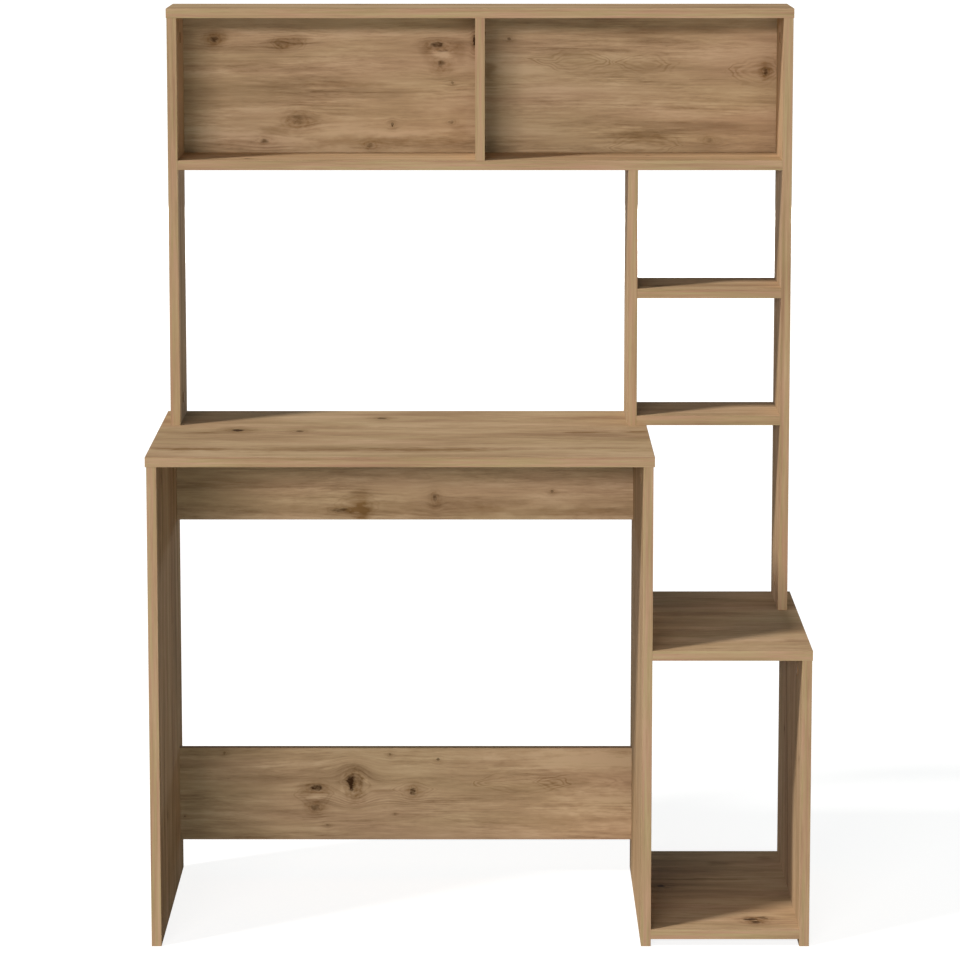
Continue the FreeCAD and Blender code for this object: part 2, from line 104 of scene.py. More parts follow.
# Soft streaks and patches end with how brown they are, or how pale where it is negative. A few are
# painted light and shade, as marked below.
PATCHES = {
    "compartment_back": (
        (-420, 1342, 28, 15, 0.4), (-310, 1337, 28, 12, 0.3), (-60, 1319, 15, 6, -1.6),
        (-86, 1326, 9, 16, 0.3), (-32, 1326, 12, 20, 0.35), (-61, 1296, 22, 6, 0.2),
        (-270, 1212, 36, 13, 0.25), (-222, 1273, 95, 5, 0.4), (-320, 1265, 90, 3, -0.3),
        (-395, 1178, 36, 7, 0.25), (-322, 1201, 32, 8, 0.4), (-190, 1183, 110, 13, 0.5),
        (-32, 1198, 18, 10, 0.35), (-240, 1306, 90, 9, -0.15), (60, 1180, 52, 4, 0.25),
        (12, 1296, 14, 17, 0.55), (155, 1308, 56, 19, 0.15), (260, 1306, 42, 18, 0.12),
        (450, 1295, 26, 22, 0.3), (313, 1236, 45, 4, 0.35), (321, 1213, 18, 3, 0.4),
        (262, 1189, 52, 13, 0.45), (194, 1267, 97, 10, -0.12), (-50, 1240, 70, 26, -0.5),
        (-70, 1186, 60, 11, 0.3),
    ),
    "lower_rail": (
        (-264, 131, 15, 6, -1.3), (-264, 132, 26, 30, 0.22), (-184, 154, 6, 14, -0.5),
        (-220, 154, 5, 14, -0.35), (-155, 141, 34, 3, 0.4), (-106, 142, 22, 16, 0.2),
        (110, 91, 130, 10, 0.2), (104, 154, 100, 18, 0.08), (-384, 150, 90, 8, 0.15),
        (150, 190, 150, 20, -0.7), (200, 125, 110, 30, -0.8), (-288, 192, 176, 8, -0.2),
        (-230, 75, 250, 10, -0.2), (215, 150, 60, 90, -0.3),
    ),
    "upper_rail": (
        (-193, 612, 22, 24, 0.55), (-187, 596, 20, 18, 0.4), (10, 603, 30, 9, 0.3),
        (-112, 660, 16, 8, 0.2), (-100, 600, 250, 17, 0.3), (160, 596, 110, 11, 0.35),
        (-304, 645, 144, 9, -0.12),
    ),
    "desktop": (
        (-427, 4, 24, 14, 0.5), (-440, -165, 70, 20, 0.7), (-60, -170, 130, 22, 0.7),
        (161, 11, 36, 14, 0.7), (244, 15, 26, 13, 0.7), (-273, -166, 160, 24, 0.45),
        (167, -158, 91, 16, 0.4), (-120, -100, 340, 26, -0.1), (-283, 69, 142, 18, 0.25),
        (-60, 90, 260, 24, -0.3), (-120, -226, 346, 14, 0.15), (176, 169, 96, 16, 0.3),
        (-150, 200, 300, 12, 0.25), (-120, -60, 420, 200, 0.08),
    ),
    "cabinet_top": (
        # The pale band along the front is painted light where the key light falls, and the broad brown
        # patch over the back is painted shade where the desktop's shadow lies.
        (384, 179, 88, 13, 0.3), (345, 51, 94, 25, 0.25), (475, -167, 21, 16, 0.3),
        (383, -234, 83, 7, 0.25), (375, -205, 150, 45, -0.45), (330, -110, 110, 32, 0.35),
        (360, 60, 200, 160, 0.08),
    ),
    "cabinet_bottom": (
        (374, 61, 97, 8, 0.6), (387, 167, 22, 15, 0.4), (461, 199, 16, 23, 0.35),
        (433, -165, 20, 10, -0.5), (370, -160, 110, 60, -0.35),
    ),
    # The faces of the two uprights inside the compartments are painted paler here: painted light,
    # standing in for the light that falls into the compartments.
    "hutch_left_upright": (
        (1275, 167, 150, 120, -1.4),
    ),
    "hutch_right_upright": (
        (1275, 167, 150, 120, -1.4),
    ),
}
# Arches, where the saw met the growth rings flat, end with how dark their lines are and how many
# radians of rings they show.
ARCHES = {
    "compartment_back": (
        (-302, 1338, 30, 15, 0.35, 14), (150, 1309, 66, 21, 0.55, 24), (266, 1306, 54, 20, 0.5, 20),
        (440, 1294, 48, 28, 0.5, 24), (262, 1176, 62, 24, 0.45, 20), (-286, 1214, 32, 17, 0.2, 14),
    ),
    "lower_rail": (
        (70, 154, 86, 21, 0.5, 24), (158, 156, 78, 19, 0.5, 20), (-108, 142, 34, 21, 0.35, 20),
        (-264, 132, 34, 30, 0.25, 18), (-203, 154, 26, 22, 0.25, 16),
    ),
    "upper_rail": (
        (-194, 610, 38, 26, 0.2, 16), (-104, 653, 36, 14, 0.15, 12),
    ),
    "desktop": (
        (31, -40, 200, 50, 0.15, 18),
    ),
}
# The face of the board that these marks are on: 1 for the high side, 0 for the low side.
MARKED_FACE = {
    "compartment_back": 0, "lower_rail": 0, "upper_rail": 0, "desktop": 1, "cabinet_top": 1,
    "cabinet_bottom": 1, "hutch_left_upright": 1, "hutch_right_upright": 0,
}

# How fine the broad bands are across the grain, on the boards where they are broader than usual.
FINENESS = {"desktop": 0.42, "cabinet_top": 0.6, "cabinet_bottom": 0.65}
# How far the print of a board's high side starts from that of its low side.
SIDE_STEP = 3.7
# The start and the strength of the edging's own print, and how much finer it is across the strip.
EDGING_START = 211.0
EDGING_CONTRAST = 0.9
EDGING_FINENESS = 3.0
EDGING_PLAINNESS = 0.4  # share of the strip's main colour over its print

# Waves of the print: their length along the grain and their width across it in millimetres, and how
# many finer waves they carry.
WAVES = {
    "wander": (260, 60, 1.0),  # drifts the grain sideways
    "swell": (400, 70, 0.5),  # draws the growth rings together and apart
    "figure": (180, 30, 1.0),  # shows the rings in some places only
    "broadest": (600, 85, 1.0),
    "broad": (340, 32, 1.0),
    "streak": (48, 4.5, 2.0),
    "life": (150, 28, 1.0),  # leaves some of the print calm and some full of fine streaks
    "tint": (300, 45, 2.0),
}
# The grain wanders about 9 mm sideways over the length of a hand.
WANDER = 9.0
RING_SWELL = 9.0  # rings that the swell adds
# Across one ring: pale early wood, then dark late wood that ends sharply.
RING_PROFILE = ((0.0, 0.0), (0.4, 0.1), (0.8, 1.0), (1.0, 1.0))
CALM_LEVEL = 0.66  # where plain wood stands between the darkest streak and the palest
PALING = -0.4  # how much paler a mark of less than no brownness makes it
ROUGHEST, FIBRE_SHEEN = 1.02, 0.16  # roughness between the fibres, and what a fibre takes off it
EMBOSSING = 0.00005  # the print is embossed about a twentieth of a millimetre deep

# How the outlines of marks stray: the waves' length and width in millimetres, the finer waves they
# carry, how far they stray in shares of the mark, and how strongly they fleck it.
RAGGED = (26, 9, 3.0, 1.9, 0.4)
TORN = (9, 5, 3.0, 1.6, 1.0)
WAVY = (45, 20, 2.0, 0.8, 0.0)
# How far the wood round a mark is coloured, in shares of the mark, how far it pushes the grain aside,
# and how dark the rings round it are.
PATCH_STYLE = {"Reach": 1.0, "Push": 0.05, "Lines": 0.0}
KNOT_STYLE = {"Reach": 3.0, "Push": 0.8, "Lines": 0.15}
# The grain bends over about three half lengths and two half widths of a mark.
BEND = (0.3, 0.45, 0.0)
MARK_RINGS = 16.0  # radians of rings over a mark's reach
FLECKING = 2.5  # how strongly the roughness flecks a mark
ARCH_BEND = 0.02  # how far arches push the grain outwards
ARCH_TIPS, ARCH_FLANKS = 0.9, 0.3  # what the lines gain towards the tips, and how dark they are anyway

# Stray knots, where no mark is listed: one in a patch of this many millimetres, or none.
STRAY_PATCH = (300.0, 150.0)
STRAY_LUCK = 0.62  # only patches with more luck than this have a knot
STRAY_LEAST, STRAY_GROWTH = 3.0, 5.0  # its least half length, and what luck adds at most
STRAY_ROUNDNESS = 0.65
STRAY_REACH = 2.6
STRAY_LOOK = {"Darkness": 0.75, "Browning": 0.3, "Push": 0.8, "Lines": 0.1}

MATH, VECTOR, NOISE = "ShaderNodeMath", "ShaderNodeVectorMath", "ShaderNodeTexNoise"
RANGE, RAMP, MIX, BUMP = "ShaderNodeMapRange", "ShaderNodeValToRGB", "ShaderNodeMix", "ShaderNodeBump"
SPLIT, JOIN, COORDS = "ShaderNodeSeparateXYZ", "ShaderNodeCombineXYZ", "ShaderNodeTexCoord"
VORONOI, SPLIT_COLOUR = "ShaderNodeTexVoronoi", "ShaderNodeSeparateColor"
# The Mix node's sockets by number, because their names repeat: what goes in, and the mixed colour.
NUMBER_A, NUMBER_B, COLOUR_A, COLOUR_B, MIXED = 2, 3, 6, 7, 2
WHITE = (1.0, 1.0, 1.0, 1.0)

KEY_TRAVEL = Vector((0.596, 0.420, -0.684))  # the way the key light goes
KEY_SPREAD = 9.0  # degrees that the key light's source fills, which softens its shadows
# Softboxes: degrees to the right of the front and above the horizon, metres away, their size in
# metres, and which of the studio's colours they have.
SOFTBOXES = {
    "front": (-13.6, 10.7, 40.0, (12.4, 3.2), "soft"),
    "fill": (3.0, 0.0, 9.0, (4.0, 2.4), "cool"),
    "right": (90.0, 1.0, 12.0, (1.2, 1.2), "warm"),
    "rear": (180.0, 1.0, 12.0, (2.0, 0.6), "warm"),
}
FLOOR_REACH = 60.0
FLOOR_GAP = 0.0002
CAMERA_PLACE = (0.0, -6.67, 1.7189)
CAMERA_TILT = 0.15498  # radians that the camera looks down
SENSOR_WIDTH = 36.0
NEAREST, FARTHEST = 0.1, 200.0


def linear(colour):
    """The linear value of an sRGB hex colour."""
    parts = [int(colour[i:i + 2], 16) / 255 for i in (1, 3, 5)]
    return [p / 12.92 if p <= 0.04045 else ((p + 0.055) / 1.055) ** 2.4 for p in parts]


def shade(name, colour, description):
    """A colour that a user may change, given as an sRGB hex value."""
    return FloatVectorProperty(
        name=name, description=description, default=linear(colour), subtype="COLOR", size=3, min=0, max=1
    )


def length(name, metres, description):
    """A length that a user may change."""
    return FloatProperty(name=name, description=description, default=metres, unit="LENGTH", min=0)


def portion(name, share, description):
    """A share of full light that a user may change."""
    return FloatProperty(
        name=name, description=description, default=share, subtype="FACTOR", min=0, max=1
    )


def span(low, high, start=0.0, end=1.0):
    """What a range runs over, and what it gives at its two ends."""
    return {"From Min": low, "From Max": high, "To Min": start, "To Max": end}


def feed(tree, sockets, inputs):
    """Gives each socket its value, or links it to the socket or the node that feeds it."""
    for key, value in inputs.items():
        if isinstance(value, bpy.types.Node):
            value = value.outputs[0]
        if isinstance(value, bpy.types.NodeSocket):
            tree.links.new(value, sockets[key])
        else:
            sockets[key].default_value = value


def add(tree, kind, inputs=None, operation=None, **settings):
    """Adds a node with what feeds it, its operation if it has one, and its other settings."""
    node = tree.nodes.new(kind)
    if operation:
        node.operation = operation
    for name, value in settings.items():
        setattr(node, name, value)
    feed(tree, node.inputs, inputs or {})
    return node


def lay_stops(ramp, stops):
    """Gives a ramp that runs from 0 to 1 its stops, each a position and a colour."""
    elements = ramp.color_ramp.elements
    for position, _ in stops[1:-1]:
        elements.new(position)
    for element, (_, colour) in zip(elements, stops):
        element.color = (*colour, 1.0)


class DeskOakSettings(bpy.types.PropertyGroup):
    """Oak print of the melamine face and of its edging."""

    dark: shade("Dark streak", "#82664a", "Latewood and the darkest streaks of the print")
    brown: shade("Brown", "#a08465", "Brown bands of the print")
    body: shade("Body", "#b69977", "Main colour of the print")
    pale: shade("Pale", "#c8ac8a", "Palest streaks of the print")
    knot: shade("Knot", "#3b2716", "Heart of a knot")
    burr: shade("Burr tint", "#b4a389", "Tint of burrs and of the wood round a knot")
    rosy: shade("Rosy tint", "#fffcfc", "Tint of the rosier patches")
    olive: shade("Olive tint", "#fdfffa", "Tint of the greener patches")
    edging: shade("Edging", "#8a7258", "Main colour of the edging strip")
    strip_rosy: shade("Rosy streak", "#fff5fa", "Tint of the rosier streaks of the edging")
    strip_olive: shade("Olive streak", "#f8fff4", "Tint of the greener streaks of the edging")
    band_length: length("Band length", 0.150, "Length of the broad tone bands along the grain")
    band_width: length("Band width", 0.013, "Width of the broad tone bands")
    ring_gap: length("Ring gap", 0.0055, "Distance between two growth rings on the face")
    fibre_length: length("Fibre length", 0.016, "Length of the fine streaks")
    fibre_width: length("Fibre width", 0.0015, "Width of the fine streaks")
    pore_length: length("Pore length", 0.010, "Length of an open pore")
    pore_width: length("Pore width", 0.0008, "Width of an open pore")


class DeskCoreSettings(bpy.types.PropertyGroup):
    """Bare chipboard and hardboard."""

    chip_dark: shade("Dark chip", "#9a7444", "Darkest chips")
    chip: shade("Chip", "#c09a66", "Main colour of the chips")
    chip_pale: shade("Pale chip", "#dcc194", "Palest chips")
    chip_size: length("Chip size", 0.0022, "Size of a chip in the core")
    foil: length("Face thickness", 0.00015, "Thickness of the printed face")
    hardboard: shade("Hardboard", "#86664a", "Bare face of the hardboard")
    hardboard_pale: shade("Pale fibre", "#a07c5a", "Palest fibres of the hardboard")
    screen_pitch: length("Screen pitch", 0.0016, "Distance between the marks of the press screen")


class DeskFittingSettings(bpy.types.PropertyGroup):
    """Metal, plastic and beech fittings."""

    zinc: shade("Zinc", "#b9bab8", "Cast zinc of the cams")
    steel: shade("Plated steel", "#c9cac6", "Zinc-plated steel of the bolts and nails")
    cap: shade("Cover cap", "#9b7b58", "Plastic of the cover caps")
    beech: shade("Beech", "#d3ad82", "Beech of the dowels")
    beech_dark: shade("Beech fleck", "#b58a5c", "Flecks in the beech")


class DeskStudioSettings(bpy.types.PropertyGroup):
    """Camera, lamps and floor."""

    lens: FloatProperty(name="Lens", description="Focal length", default=163.37, unit="CAMERA", min=1)
    key: FloatProperty(name="Key", description="Strength of the key lamp", default=2.52, min=0)
    front: portion("Front", 0.43, "Light from the long front lamp")
    fill: portion("Fill", 0.24, "Light from beside the camera")
    right: portion("Right", 0.30, "Light from the right lamp")
    rear: portion("Rear", 0.34, "Light from the rear lamp")
    sky: portion("Sky", 0.155, "Light from all round")
    glow: portion("Floor glow", 0.86, "White added where the floor is seen")
    warm: shade("Warm", "#fffaf5", "Colour of the key lamp and of the right and rear lamps")
    soft: shade("Soft", "#fff6f8", "Colour of the long front lamp")
    cool: shade("Cool", "#eafbff", "Colour of the lamp beside the camera")
    air: shade("Air", "#e2f8ff", "Colour of the light from all round")
    floor: shade("Floor", "#a9a9a7", "What the floor sends back up onto the desk")


def new_material(name):
    """A new material with its tree and its shader."""
    material = bpy.data.materials.new(name)
    material.use_nodes = True
    tree = material.node_tree
    return material, tree, tree.nodes["Principled BSDF"]


def dress(node, material):
    """Gives a node of the model its one material."""
    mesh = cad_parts[node].data
    mesh.materials.clear()
    mesh.materials.append(material)


def group(name, inputs, outputs):
    """A node group's tree, what it is given and what it gives: the kinds of its sockets by name."""
    tree = bpy.data.node_groups.new(name, "ShaderNodeTree")
    for side, sockets in (("INPUT", inputs), ("OUTPUT", outputs)):
        for label, kind in sockets.items():
            tree.interface.new_socket(label, in_out=side, socket_type="NodeSocket" + kind)
    return tree, tree.nodes.new("NodeGroupInput").outputs, tree.nodes.new("NodeGroupOutput").inputs


def mark_group():
    """One mark: of the print, and on some boards a patch of painted light and shade. It pushes the grain
    aside, and browns or pales the wood in rings.
    """
    tree, given, out = group("mark", {
        "Place": "Vector", "Heart": "Float", "Halo": "Float", "Figure": "Float", "Rough": "Vector",
        "Centre": "Vector", "Half size": "Vector", "Darkness": "Float", "Browning": "Float",
        "Reach": "Float", "Push": "Float", "Lines": "Float",
    }, {"Place": "Vector", "Heart": "Float", "Halo": "Float", "Figure": "Float"})
    gap = add(tree, VECTOR, {0: given["Place"], 1: given["Centre"]}, "SUBTRACT")
    even = add(tree, VECTOR, {0: gap, 1: given["Half size"]}, "DIVIDE")
    near = add(tree, VECTOR, {0: even, 1: BEND}, "MULTIPLY")
    square = add(tree, VECTOR, {0: near, 1: near}, "DOT_PRODUCT").outputs["Value"]
    fade = add(tree, MATH, {0: math.exp(-1), 1: square}, "POWER")
    share = add(tree, MATH, {0: fade, 1: given["Push"]}, "MULTIPLY")
    bend = add(tree, VECTOR, {0: gap, "Scale": share}, "SCALE")
    aside = add(tree, VECTOR, {0: bend, 1: (0.0, -1.0, 0.0), 2: given["Place"]}, "MULTIPLY_ADD")
    away = add(tree, VECTOR, {0: even, 1: given["Rough"]}, "ADD")
    radius = add(tree, VECTOR, {0: away}, "LENGTH").outputs["Value"]
    fading = {"Value": radius, **span(0.5, 1.15, 1.0, 0.0)}
    heart = add(tree, RANGE, fading, interpolation_type="SMOOTHSTEP")
    wide = add(tree, MATH, {0: radius, 1: given["Reach"]}, "DIVIDE")
    fading = {"Value": wide, **span(0.2, 1.3, 1.0, 0.0)}
    halo = add(tree, RANGE, fading, interpolation_type="SMOOTHSTEP")
    turn = add(tree, MATH, {0: wide, 1: MARK_RINGS}, "MULTIPLY")
    wave = add(tree, MATH, {0: turn}, "SINE")
    line = add(tree, RANGE, {"Value": wave, **span(0.0, 1.0)})
    brown = add(tree, MATH, {0: line, 1: given["Lines"], 2: given["Browning"]}, "MULTIPLY_ADD")
    # The third part of the roughness flecks the mark's colour.
    fleck = add(tree, SPLIT, {0: given["Rough"]}).outputs[Z]
    mottle = add(tree, MATH, {0: fleck, 1: FLECKING, 2: 1.0}, "MULTIPLY_ADD")
    core = add(tree, MATH, {0: heart, 1: mottle}, "MULTIPLY")
    rim = add(tree, MATH, {0: halo, 1: mottle}, "MULTIPLY")
    hearts = add(tree, MATH, {0: core, 1: given["Darkness"], 2: given["Heart"]}, "MULTIPLY_ADD")
    halos = add(tree, MATH, {0: rim, 1: brown, 2: given["Halo"]}, "MULTIPLY_ADD")
    figure = add(tree, MATH, {0: share, 1: given["Figure"]}, "ADD")
    feed(tree, out, {"Place": aside, "Heart": hearts, "Halo": halos, "Figure": figure})


def arch_group():
    """Growth rings met flat by the saw: pointed rings, one in another, darkest at their two tips."""
    tree, given, out = group("arch", {
        "Place": "Vector", "Halo": "Float", "Rough": "Vector", "Centre": "Vector",
        "Half size": "Vector", "Lines": "Float", "Turns": "Float",
    }, {"Place": "Vector", "Halo": "Float"})
    gap = add(tree, VECTOR, {0: given["Place"], 1: given["Centre"]}, "SUBTRACT")
    even = add(tree, VECTOR, {0: gap, 1: given["Half size"]}, "DIVIDE")
    away = add(tree, VECTOR, {0: even, 1: given["Rough"]}, "ADD")
    split = add(tree, SPLIT, {0: away}).outputs
    tip = add(tree, MATH, {0: split[X], 1: split[X]}, "MULTIPLY")
    flank = add(tree, MATH, {0: split[Y]}, "ABSOLUTE")
    radius = add(tree, MATH, {0: tip, 1: flank}, "ADD")
    fading = {"Value": radius, **span(0.75, 1.2, 1.0, 0.0)}
    fade = add(tree, RANGE, fading, interpolation_type="SMOOTHSTEP")
    turn = add(tree, MATH, {0: radius, 1: given["Turns"]}, "MULTIPLY")
    wave = add(tree, MATH, {0: turn}, "SINE")
    line = add(tree, RANGE, {"Value": wave, **span(-0.4, 1.0)})
    strong = add(tree, MATH, {0: tip, 1: ARCH_TIPS, 2: ARCH_FLANKS}, "MULTIPLY_ADD")
    drawn = add(tree, MATH, {0: line, 1: strong}, "MULTIPLY")
    faded = add(tree, MATH, {0: drawn, 1: fade}, "MULTIPLY")
    halos = add(tree, MATH, {0: faded, 1: given["Lines"], 2: given["Halo"]}, "MULTIPLY_ADD")
    bend = add(tree, MATH, {0: fade, 1: ARCH_BEND}, "MULTIPLY")
    aside = add(tree, VECTOR, {0: gap, "Scale": bend}, "SCALE")
    place = add(tree, VECTOR, {0: given["Place"], 1: aside}, "SUBTRACT")
    feed(tree, out, {"Place": place, "Halo": halos})


def print_group(oak):
    """The oak print itself: broad bands, growth rings, fine fibres, pores and knots."""
    tree, given, out = group("oak_print", {
        "Place": "Vector", "Start": "Float", "Heart": "Float", "Halo": "Float", "Figure": "Float",
        "Contrast": "Float", "Fineness": "Float",
    }, {"Colour": "Color", "Roughness": "Float", "Height": "Float"})
    mm = MM_PER_METRE
    spot = add(tree, SPLIT, {0: given["Place"]}).outputs
    plain = add(tree, JOIN, {0: spot[X], 1: spot[Y], 2: given["Start"]})

    def pattern(source, long, wide, detail, roughness=0.5):
        """Noise drawn out along the grain, with its waves' length and width in millimetres."""
        place = add(tree, VECTOR, {0: source, 1: (1 / long, 1 / wide, 1.0)}, "MULTIPLY")
        settings = {"Vector": place, "Scale": 1.0, "Detail": detail, "Roughness": roughness}
        return add(tree, NOISE, settings)

    def layered(layers):
        """Adds up layers of the print: each lightens or darkens by its share round its middle."""
        tone = 0.0
        for source, share, middle in layers:
            part = add(tree, MATH, {0: source, 1: middle}, "SUBTRACT")
            tone = add(tree, MATH, {0: part, 1: share, 2: tone}, "MULTIPLY_ADD")
        return tone

    wander = pattern(plain, *WAVES["wander"])
    moved = add(tree, MATH, {0: wander, 1: WANDER, 2: spot[Y]}, "MULTIPLY_ADD")
    grain = add(tree, JOIN, {0: spot[X], 1: moved, 2: given["Start"]})
    fibres = pattern(grain, oak.fibre_length * mm, oak.fibre_width * mm, 2.0, 0.6)
    pores = pattern(grain, oak.pore_length * mm, oak.pore_width * mm, 0.0)
    swell = pattern(grain, *WAVES["swell"])
    flat = add(tree, MATH, {0: moved, 1: oak.ring_gap * mm}, "DIVIDE")
    count = add(tree, MATH, {0: swell, 1: RING_SWELL, 2: flat}, "MULTIPLY_ADD")
    step = add(tree, MATH, {0: count}, "FRACT")
    ring = add(tree, RAMP, {"Fac": step})
    lay_stops(ring, [(position, (level, level, level)) for position, level in RING_PROFILE])
    shown = add(tree, RANGE, {"Value": pattern(grain, *WAVES["figure"]), **span(0.42, 0.66, 0.0, 0.4)})
    seen = add(tree, MATH, {0: shown, 1: given["Figure"]}, "ADD", use_clamp=True)
    rings = add(tree, MATH, {0: ring, 1: seen}, "MULTIPLY")
    pore = add(tree, RANGE, {"Value": pores, **span(0.66, 0.74)})
    spread = add(tree, JOIN, {0: 1.0, 1: given["Fineness"], 2: 1.0})
    bands = add(tree, VECTOR, {0: grain, 1: spread}, "MULTIPLY")
    broad = layered((
        (pattern(bands, *WAVES["broadest"]), 0.8, 0.5),
        (pattern(bands, *WAVES["broad"]), 0.9, 0.5),
        (pattern(bands, oak.band_length * mm, oak.band_width * mm, 2.0), 0.9, 0.5),
    ))
    streaks = pattern(grain, *WAVES["streak"])
    fine = layered(((streaks, 0.75, 0.5), (fibres, 0.5, 0.5), (rings, -0.3, 0.2), (pore, -0.12, 0.0)))
    lively = add(tree, RANGE, {"Value": pattern(grain, *WAVES["life"]), **span(0.35, 0.65, 0.45, 1.3)})
    tone = add(tree, MATH, {0: fine, 1: lively, 2: broad}, "MULTIPLY_ADD")
    # Marks pale or brown the print. Most are marks of the print itself; the paling on the uprights'
    # compartment faces and on the cabinet top's front is painted light, and the browning over the
    # cabinet top's back is painted shade.
    paler = add(tree, MATH, {0: given["Halo"], 1: PALING}, "MULTIPLY", use_clamp=True)
    middle = add(tree, MATH, {0: paler, 1: CALM_LEVEL}, "ADD")
    level = add(tree, MATH, {0: tone, 1: given["Contrast"], 2: middle}, "MULTIPLY_ADD")
    wood = add(tree, RAMP, {"Fac": level})
    lay_stops(wood, ((0.0, oak.dark), (0.34, oak.brown), (CALM_LEVEL, oak.body), (1.0, oak.pale)))
    patchy = add(tree, RANGE, {"Value": pattern(grain, *WAVES["tint"]), **span(0.35, 0.65)})
    tints = {"Factor": patchy, COLOUR_A: (*oak.rosy, 1.0), COLOUR_B: (*oak.olive, 1.0)}
    tint = add(tree, MIX, tints, data_type="RGBA").outputs[MIXED]
    laid = {"Factor": 1.0, COLOUR_A: wood, COLOUR_B: tint}
    tinted = add(tree, MIX, laid, data_type="RGBA", blend_type="MULTIPLY").outputs[MIXED]
    # A brown or dark share past one would overshoot the tint, so both are clamped.
    browner = add(tree, MATH, {0: given["Halo"], 1: 1.0}, "MULTIPLY", use_clamp=True)
    laid = {"Factor": browner, COLOUR_A: tinted, COLOUR_B: (*oak.burr, 1.0)}
    brown = add(tree, MIX, laid, data_type="RGBA", blend_type="MULTIPLY").outputs[MIXED]
    dark = add(tree, MATH, {0: given["Heart"], 1: 1.0}, "MULTIPLY", use_clamp=True)
    laid = {"Factor": dark, COLOUR_A: brown, COLOUR_B: (*oak.knot, 1.0)}
    colour = add(tree, MIX, laid, data_type="RGBA").outputs[MIXED]
    rough = add(tree, MATH, {0: fibres, 1: -FIBRE_SHEEN, 2: ROUGHEST}, "MULTIPLY_ADD")
    height = add(tree, MATH, {0: pore, 1: -1.0, 2: fibres}, "MULTIPLY_ADD")
    feed(tree, out, {"Colour": colour, "Roughness": rough, "Height": height})


def chip_group(core):
    """Pressed wood chips as a saw leaves them: flat flakes of mixed browns with small gaps."""
    tree, given, out = group(
        "pressed_chips", {"Place": "Vector"}, {"Colour": "Color", "Height": "Float"}
    )
    size = core.chip_size * MM_PER_METRE
    waves = {"Vector": given["Place"], "Scale": 0.5 / size, "Detail": 2.0}
    bent = add(tree, NOISE, waves).outputs["Color"]
    place = add(tree, VECTOR, {0: bent, 1: (size, size, size), 2: given["Place"]}, "MULTIPLY_ADD")
    cells = add(tree, VORONOI, {"Vector": place, "Scale": 1 / size}).outputs
    flake = add(tree, SPLIT_COLOUR, {0: cells["Color"]})
    colour = add(tree, RAMP, {"Fac": flake})
    lay_stops(colour, ((0.0, core.chip_dark), (0.5, core.chip), (1.0, core.chip_pale)))
    feed(tree, out, {"Colour": colour, "Height": cells["Distance"]})


def call(tree, shared, inputs):
    """Places one of the shared node groups in a tree, and gives its outputs by name."""
    node = add(tree, "ShaderNodeGroup", inputs, node_tree=bpy.data.node_groups[shared])
    return {socket.name: socket for socket in node.outputs}


def shared_groups(scene):
    """Makes the node groups that several materials share, once."""
    if "oak_print" not in bpy.data.node_groups:
        mark_group()
        arch_group()
        print_group(scene.desk_oak)
        chip_group(scene.desk_core)


def sheet_axes(node):
    """The axes along the grain, across it and through a sheet: upright panels have upright grain."""
    low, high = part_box(node)
    size = high - low
    through = min((X, Y, Z), key=lambda axis: size[axis])
    along = Z if through == X else X
    return along, X + Y + Z - through - along, through


def outline(tree, flat, long, wide, detail, amount, flecks):
    """How far the outlines of marks stray, over waves of this many millimetres, and their flecks."""
    drawn = add(tree, VECTOR, {0: flat, 1: (1 / long, 1 / wide, 0.0)}, "MULTIPLY")
    rough = add(tree, NOISE, {"Vector": drawn, "Scale": 1.0, "Detail": detail}).outputs["Color"]
    even = add(tree, VECTOR, {0: rough, 1: (0.5, 0.5, 0.5)}, "SUBTRACT")
    return add(tree, VECTOR, {0: even, 1: (amount, amount, flecks)}, "MULTIPLY")


def placed_marks(tree, node, flat, ragged, torn, wavy):
    """Lays a board's arches, patches and knots one after the other, and gives what they leave."""
    state = {"Place": flat, "Heart": 0.0, "Halo": 0.0, "Figure": 0.0}
    for u, v, half_long, half_wide, lines, turns in ARCHES.get(node, ()):
        state.update(call(tree, "arch", {
            "Place": state["Place"], "Halo": state["Halo"], "Rough": wavy, "Centre": (u, v, 0.0),
            "Half size": (half_long, half_wide, 1.0), "Lines": lines, "Turns": turns,
        }))
    marks = [(*row[:4], 0.0, row[4], ragged, PATCH_STYLE) for row in PATCHES.get(node, ())]
    marks += [(*row, torn, KNOT_STYLE) for row in KNOTS.get(node, ())]
    for u, v, half_long, half_wide, darkness, browning, rough, style in marks:
        state = call(tree, "mark", {
            **state, **style, "Rough": rough, "Centre": (u, v, 0.0),
            "Half size": (half_long, half_wide, 1.0), "Darkness": darkness, "Browning": browning,
        })
    return state


